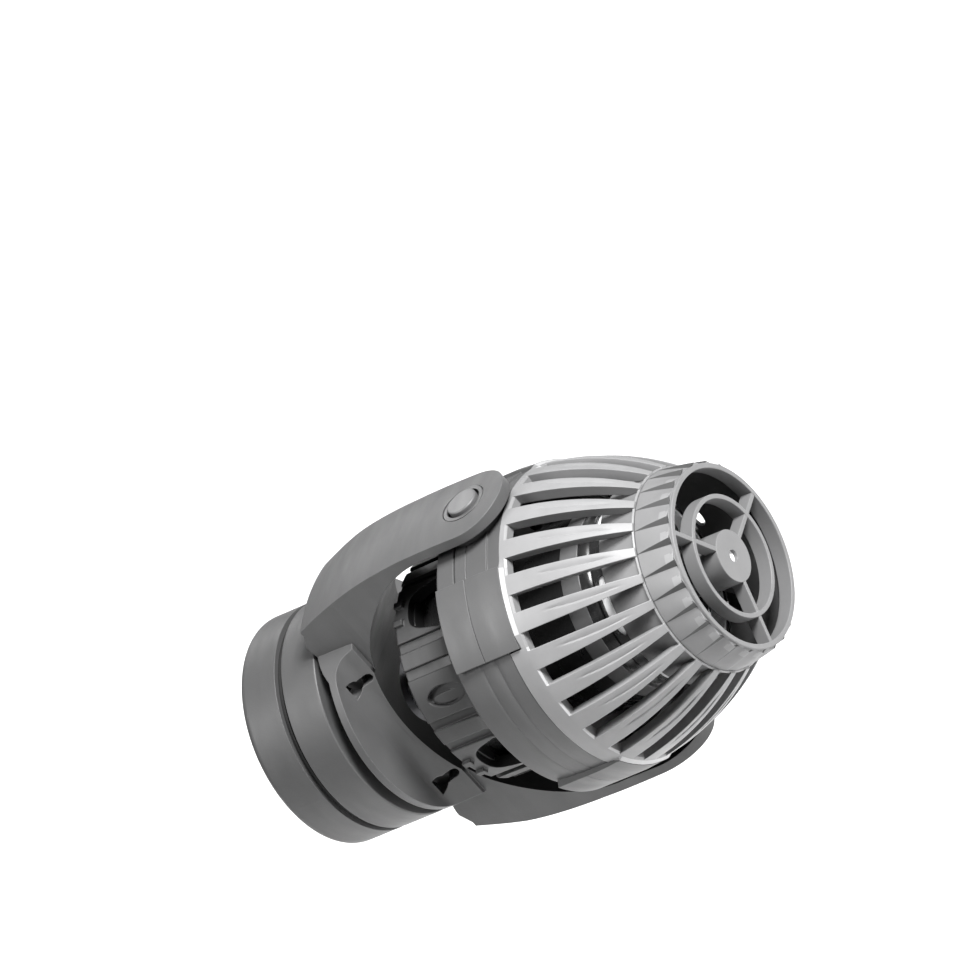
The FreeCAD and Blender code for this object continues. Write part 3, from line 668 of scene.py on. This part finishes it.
bore = post(BORE_R, 36.4, 60.0)
collar = carve(post(10.4, 43.2, 45.6), bore)
boss = carve(post(7.5, 36.0, 43.5), bore)
ports = [web_port(360.0 / PORTS * (k + 0.5)) for k in range(PORTS)]
WEB_OUT = SHELL_IN + 0.2
web_corners = [(WEB_IN, WEB_BACK), (WEB_OUT, WEB_BACK), (WEB_OUT, WEB_FRONT), (WEB_IN, WEB_FRONT)]
web = carve(ring_mesh(web_corners), *ports)
shell_wall = carve(shell_mesh(), bore, flipped(bore))
shell_parts = merge(shell_wall, collar, flipped(collar), boss, flipped(boss), web)
add_piece("shell_wall", *shell_parts, "pump", "shell_plastic", ["rear_shell", "front_shell"], 0.0, 30.0)


# ---- motor housing ----
MOTOR_BACK = -36.8
GROOVE_FRONT, GROOVE_FLOOR = -19.2, 33.0
# the motor's faces behind this and inside this radius take the near-black painted shade
SHADE_FRONT, SHADE_R = -17.0, 32.85
SCOOP_ANGLE = 64.75
MOTOR_WALL = [
    (31.95, MOTOR_BACK), (33.5, MOTOR_BACK), (34.0, MOTOR_BACK + 0.5), (34.15, -28.0), (34.3, -21.5),
    (35.1, -19.4), (37.0, -17.2), (40.2, -14.8), (43.5, -12.9), (41.4, -12.9), (37.6, -14.8),
    (34.2, -17.0), (31.8, -19.8), (30.6, -22.5), (30.4, -32.6), (31.95, -33.2),
]
GROOVES = (-27.4, -13.8, 13.8, 27.4)
GROOVE_HALF = 2.6
WINDOW = [
    (-14.9, -17.6), (-14.2, -20.0), (-12.6, -24.0), (-11.0, -28.0), (-8.5, -30.6), (-5.0, -31.6),
    (0.0, -31.8), (5.0, -31.6), (8.5, -30.6), (11.0, -28.0), (12.6, -24.0), (14.2, -20.0), (14.9, -17.6),
]
SCOOP = [
    (-3.6, -30.0), (-4.4, -26.5), (-3.4, -22.5), (-0.6, -18.0), (3.2, -18.6), (6.2, -22.5),
    (7.0, -26.5), (5.2, -30.4), (2.2, -32.6), (-0.8, -32.4),
]
LEAF = [(0.6, -31.4), (-0.4, -27.5), (0.0, -22.5), (1.6, -18.4), (4.8, -22.0), (5.6, -26.5), (4.2, -30.2)]


def scoop_floor(ahead):
    return 32.3 + 2.0 * smooth((ahead + 31.0) / 13.0)


def motor_mesh():
    cutters, leaves = [], []
    for quarter in range(4):
        base = SCOOP_ANGLE + 90.0 * quarter
        window = [(base + 45.0 + a, s) for a, s in soft_curve(WINDOW, 2)]
        cutters.append(prism(window, lambda s: 28.0, 46.0))
        cutters.append(prism([(base + a, s) for a, s in soft_curve(SCOOP)], scoop_floor, 40.0))
        leaves.append(prism([(base + a, s) for a, s in soft_curve(LEAF)], lambda s: 31.9, 33.5))
        for centre in GROOVES:
            low, high = base + centre - GROOVE_HALF, base + centre + GROOVE_HALF
            corners = [(low, MOTOR_BACK - 1.0), (high, MOTOR_BACK - 1.0)]
            corners += [(high, GROOVE_FRONT), (low, GROOVE_FRONT)]
            cutters.append(prism(corners, lambda s: GROOVE_FLOOR, 46.0))
    return merge(carve(ring_mesh(MOTOR_WALL, 288), *cutters), *leaves)


def clip(angle):
    """A small lug on the back rim."""
    corners = [(angle - 1.6, -36.4), (angle + 1.6, -36.4), (angle + 1.6, -33.4), (angle - 1.6, -33.4)]
    return prism(corners, lambda s: 33.6, 35.1)


def motor_painted_shade(centre, normal):
    """The deep ends of the scoops and the walls of the windows, which take the near-black finish as painted
    shade.
    """
    return MOTOR_BACK + 0.3 < ahead_of(centre) < SHADE_FRONT and radius_of(centre) < SHADE_R


lugs = [clip(SCOOP_ANGLE + 50.0 + 90.0 * quarter + side) for quarter in range(4) for side in (0.0, -10.0)]
add_piece("motor_shell", *merge(motor_mesh(), *lugs), "pump", "motor_plastic", ["motor_housing"], 0.0, 30.0,
          extras=[PAINTED_SHADE], pick=motor_painted_shade)


# ---- ring with oval windows between the can and the duct ----
TUBE_R = 28.0
OVAL = [(-19.0, 30.6), (19.0, 30.6), (19.0, 34.7), (-19.0, 34.7)]
OVALS, OVAL_ANGLE = 5, 57.5
oval_angles = [OVAL_ANGLE + 360.0 / OVALS * k for k in range(OVALS)]
ovals = [
    prism([(middle + a, s) for a, s in soft_curve(OVAL)], lambda s: TUBE_R - 2.0, TUBE_R + 2.0)
    for middle in oval_angles
]
tube = ring_mesh([(TUBE_R - 0.9, 30.05), (TUBE_R, 30.05), (TUBE_R, 35.0), (TUBE_R - 0.9, 35.0)])
add_piece("window_ring", *carve(tube, *ovals), "pump", "can_plastic")
# a white liner behind the oval windows, standing in for light seen through them: painted light
liner = ring_mesh([(26.4, 30.1), (27.05, 30.1), (27.05, 34.9), (26.4, 34.9)])
add_piece("window_light_stand_in", *liner, "pump", "ceramic")
# a lighter band round the black can: a painted reflection of the lamps
band = ring_mesh([(27.9, 19.0), (28.15, 19.2), (28.15, 25.4), (27.9, 25.6)])
add_piece("can_reflection_band", *band, "pump", "can_plastic", extras=[CAN_REFLECTION], pick=first_finish)


# ---- outlet nozzle ----
NOZZLE_BACK, NOZZLE_FRONT = 48.15, 59.4
GRIP_FRONT = 58.4
FLUTES = 27
FLUTE_START = -2.5
CLIMB_COLUMNS, DROP_COLUMNS = 12, 4
FLUTE_COLUMNS = CLIMB_COLUMNS + DROP_COLUMNS
RIM_R, RIM_IN = 27.7, 26.15
MID_RING_R = 18.5
HUB_R = 7.9
GUARD_BACK = 54.9
HUB_BACK = 51.5
HUB_HOLE = 1.8
SPOKES = (-90.0, 30.0, 150.0)
DUCT_R, DUCT_FRONT = 28.7, 54.7
PATCH_SHARE, PATCH_BACK = 0.40, 56.0
FAR_WINDOW = [(-99.0, 35.6), (-84.0, 35.6), (-84.0, 38.8), (-99.0, 38.8)]


def grip_share(ahead):
    return (ahead - NOZZLE_BACK) / (GRIP_FRONT - NOZZLE_BACK)


def grip_drop(t):
    return 0.02 + 0.26 * t


def flute_radius(share, ahead):
    """The grip's radius across one flute: a slow climb, then a drop that widens towards the front."""
    t = grip_share(ahead)
    crest = 30.25 - 1.65 * t ** 1.3
    depth = 0.04 + 1.05 * t
    drop = grip_drop(t)
    climb = smooth(share / (1 - drop)) if share < 1 - drop else (1 - share) / drop
    return crest - depth * (1 - climb)


def grip_finish(centre, normal):
    """1 for the patches beside the rim, lightened as a painted highlight; 2 for the steep sides of the
    flutes and inside the duct, darkened as painted shade.
    """
    radius, ahead = radius_of(centre), ahead_of(centre)
    turn = angle_of(centre) - FLUTE_START
    share = (turn % (360.0 / FLUTES)) / (360.0 / FLUTES)
    if radius < DUCT_R and ahead < DUCT_FRONT:
        return 2
    if radius < RIM_R - 0.3 or not NOZZLE_BACK < ahead < GRIP_FRONT:
        return 0
    drop = grip_drop(grip_share(ahead))
    if share > 1 - drop:
        return 2
    return int(share > PATCH_SHARE and ahead > PATCH_BACK)


def grip_mesh():
    rows = spread(NOZZLE_BACK, GRIP_FRONT, 24)
    points, faces, grid = [], [], []
    for ahead in rows:
        line = []
        drop = grip_drop(grip_share(ahead))
        shares = [(1 - drop) * i / CLIMB_COLUMNS for i in range(CLIMB_COLUMNS)]
        shares += [1 - drop + drop * i / DROP_COLUMNS for i in range(DROP_COLUMNS)]
        for f in range(FLUTES):
            for share in shares:
                line.append(len(points))
                angle = FLUTE_START + (f + share) * 360.0 / FLUTES
                points.append(at(flute_radius(share, ahead), angle, ahead))
        grid.append(line)
    tail = [(RIM_R, GRIP_FRONT), (RIM_R, NOZZLE_FRONT - 0.15), (RIM_R - 0.15, NOZZLE_FRONT)]
    tail += [(RIM_IN + 0.15, NOZZLE_FRONT), (RIM_IN, NOZZLE_FRONT - 0.15), (RIM_IN + 0.3, 54.6)]
    tail += [(28.0, 53.4), (28.6, 44.0), (28.6, 35.1), (30.0, 35.1), (30.0, NOZZLE_BACK)]
    for radius, ahead in tail:
        line = []
        for c in range(FLUTES * FLUTE_COLUMNS):
            line.append(len(points))
            points.append(at(radius, c * 360.0 / (FLUTES * FLUTE_COLUMNS), ahead))
        grid.append(line)
    grid.append(grid[0])
    count = len(grid[0])
    for i in range(len(grid) - 1):
        for j in range(count):
            k = (j + 1) % count
            faces.append((grid[i][j], grid[i + 1][j], grid[i + 1][k], grid[i][k]))
    return points, faces


def spoke_mesh(angle, low, high, half=0.75, back=GUARD_BACK + 0.2, front=NOZZLE_FRONT - 0.15):
    """A straight radial blade from the hub to the rim."""
    points = []
    for radius in (low, high):
        for side, ahead in ((-half, back), (half, back), (half * 0.95, front), (-half * 0.95, front)):
            turn = math.degrees(math.atan2(side, radius))
            points.append(at(math.hypot(side, radius), angle + turn, ahead))
    faces = [(0, 1, 2, 3), (7, 6, 5, 4), (0, 4, 5, 1), (1, 5, 6, 2), (2, 6, 7, 3), (3, 7, 4, 0)]
    return points, faces


far_window = prism(soft_curve(FAR_WINDOW, 2), lambda s: 27.0, 31.0)
grip = carve(grip_mesh(), far_window)
add_piece("nozzle_grip", *grip, "outlet_nozzle", "nozzle_plastic", ["nozzle"], 0.0, 28.0,
          extras=[LIT_PATCH_FINISH, SHADED_FLUTE_SIDE], pick=grip_finish)
middle_ring = ring_mesh([
    (MID_RING_R - 1.5, GUARD_BACK),
    (MID_RING_R, GUARD_BACK),
    (MID_RING_R - 0.05, NOZZLE_FRONT),
    (MID_RING_R - 1.45, NOZZLE_FRONT),
])
bush = ring_mesh([(0.3, 57.6), (HUB_HOLE + 0.2, 57.6), (HUB_HOLE + 0.2, 58.2), (0.3, 58.2)], 48)
add_piece("hub_bush", *bush, "outlet_nozzle", "ceramic")
hub = ring_mesh([
    (HUB_HOLE, NOZZLE_FRONT - 1.2),
    (HUB_R - 1.2, NOZZLE_FRONT - 1.2),
    (HUB_R - 1.2, HUB_BACK),
    (HUB_R, HUB_BACK),
    (HUB_R - 0.05, NOZZLE_FRONT),
    (HUB_HOLE, NOZZLE_FRONT),
], 96)
spokes = [spoke_mesh(angle, HUB_R - 0.6, RIM_R - 0.8) for angle in SPOKES]
add_piece("nozzle_guard", *merge(middle_ring, hub, *spokes), "outlet_nozzle", "nozzle_plastic", [], 0.12)


# ---- floor, lights and camera ----
def plain(name, tone):
    mat, tree, shader = new_material(name)
    coords = tree.nodes.new("ShaderNodeTexCoord").outputs["Object"]
    colour = blend_colour(tree, noise(tree, coords, 3.0), (tone, tone, tone), (tone * 0.99,) * 3)
    link(tree, colour, shader.inputs["Base Color"])
    shader.inputs["Roughness"].default_value = 0.9
    return mat


def aim(obj, target):
    obj.rotation_euler = (obj.location - Vector(target)).to_track_quat("Z", "Y").to_euler()


def area_light(name, place, size, power, target):
    data = bpy.data.lights.new(name, "AREA")
    data.shape = "SQUARE"
    data.size = size
    data.energy = power
    light = bpy.data.objects.new(name, data)
    light.location = place
    bpy.context.scene.collection.objects.link(light)
    aim(light, target)
    return light


def make_stage():
    bpy.ops.mesh.primitive_plane_add(size=60.0, location=(0, 0, FLOOR_LEVEL))
    floor = bpy.context.object
    floor.name = "floor"
    floor.data.materials.append(plain("floor", 0.93))
    world = bpy.data.worlds.new("studio")
    bpy.context.scene.world = world
    world.use_nodes = True
    sky = world.node_tree.nodes["Background"]
    sky.inputs["Color"].default_value = (1, 1, 1, 1)
    sky.inputs["Strength"].default_value = WORLD_LIGHT


def make_camera():
    a, e, r = (math.radians(v) for v in (CAM_AZIMUTH, CAM_ELEVATION, CAM_ROLL))
    back = Vector((math.sin(a) * math.cos(e), -math.cos(a) * math.cos(e), math.sin(e)))
    level = Vector((math.cos(a), math.sin(a), 0))
    upright = back.cross(level)
    right = level * math.cos(r) - upright * math.sin(r)
    up = level * math.sin(r) + upright * math.cos(r)
    pivot = Vector((0, -PIVOT, 0))
    place = (pivot + right * CAM_RIGHT + up * CAM_UP + back * CAM_DISTANCE) * MM
    data = bpy.data.cameras.new("camera")
    data.lens = CAM_LENS
    data.sensor_width = 36.0
    data.clip_start = 0.1
    data.clip_end = 200.0
    camera = bpy.data.objects.new("camera", data)
    basis = Matrix((right, up, back)).transposed().to_4x4()
    camera.matrix_world = Matrix.Translation(place) @ basis
    bpy.context.scene.collection.objects.link(camera)
    bpy.context.scene.camera = camera


bpy.context.scene.view_settings.view_transform = "Standard"
FLOOR_LEVEL = -0.35
MIDDLE = (0.0, -0.08, 0.0)
# light: place in metres, side of the square in metres, power in watts
WORLD_LIGHT = 0.2
LIGHTS = {
    "left": ((-0.8, 0.45, 1.05), 0.5, 15.0),
    "front": ((-0.05, -0.95, 1.1), 0.5, 66.0),
    "top": ((0.0, -0.1, 1.5), 0.8, 3.0),
    "floor": ((1.6, 1.25, 0.9), 1.0, 18.0),
}
make_stage()
for light_name, (place, side, power) in LIGHTS.items():
    below = (place[0], place[1], FLOOR_LEVEL)
    area_light(light_name, place, side, power, below if light_name == "floor" else MIDDLE)
make_camera()
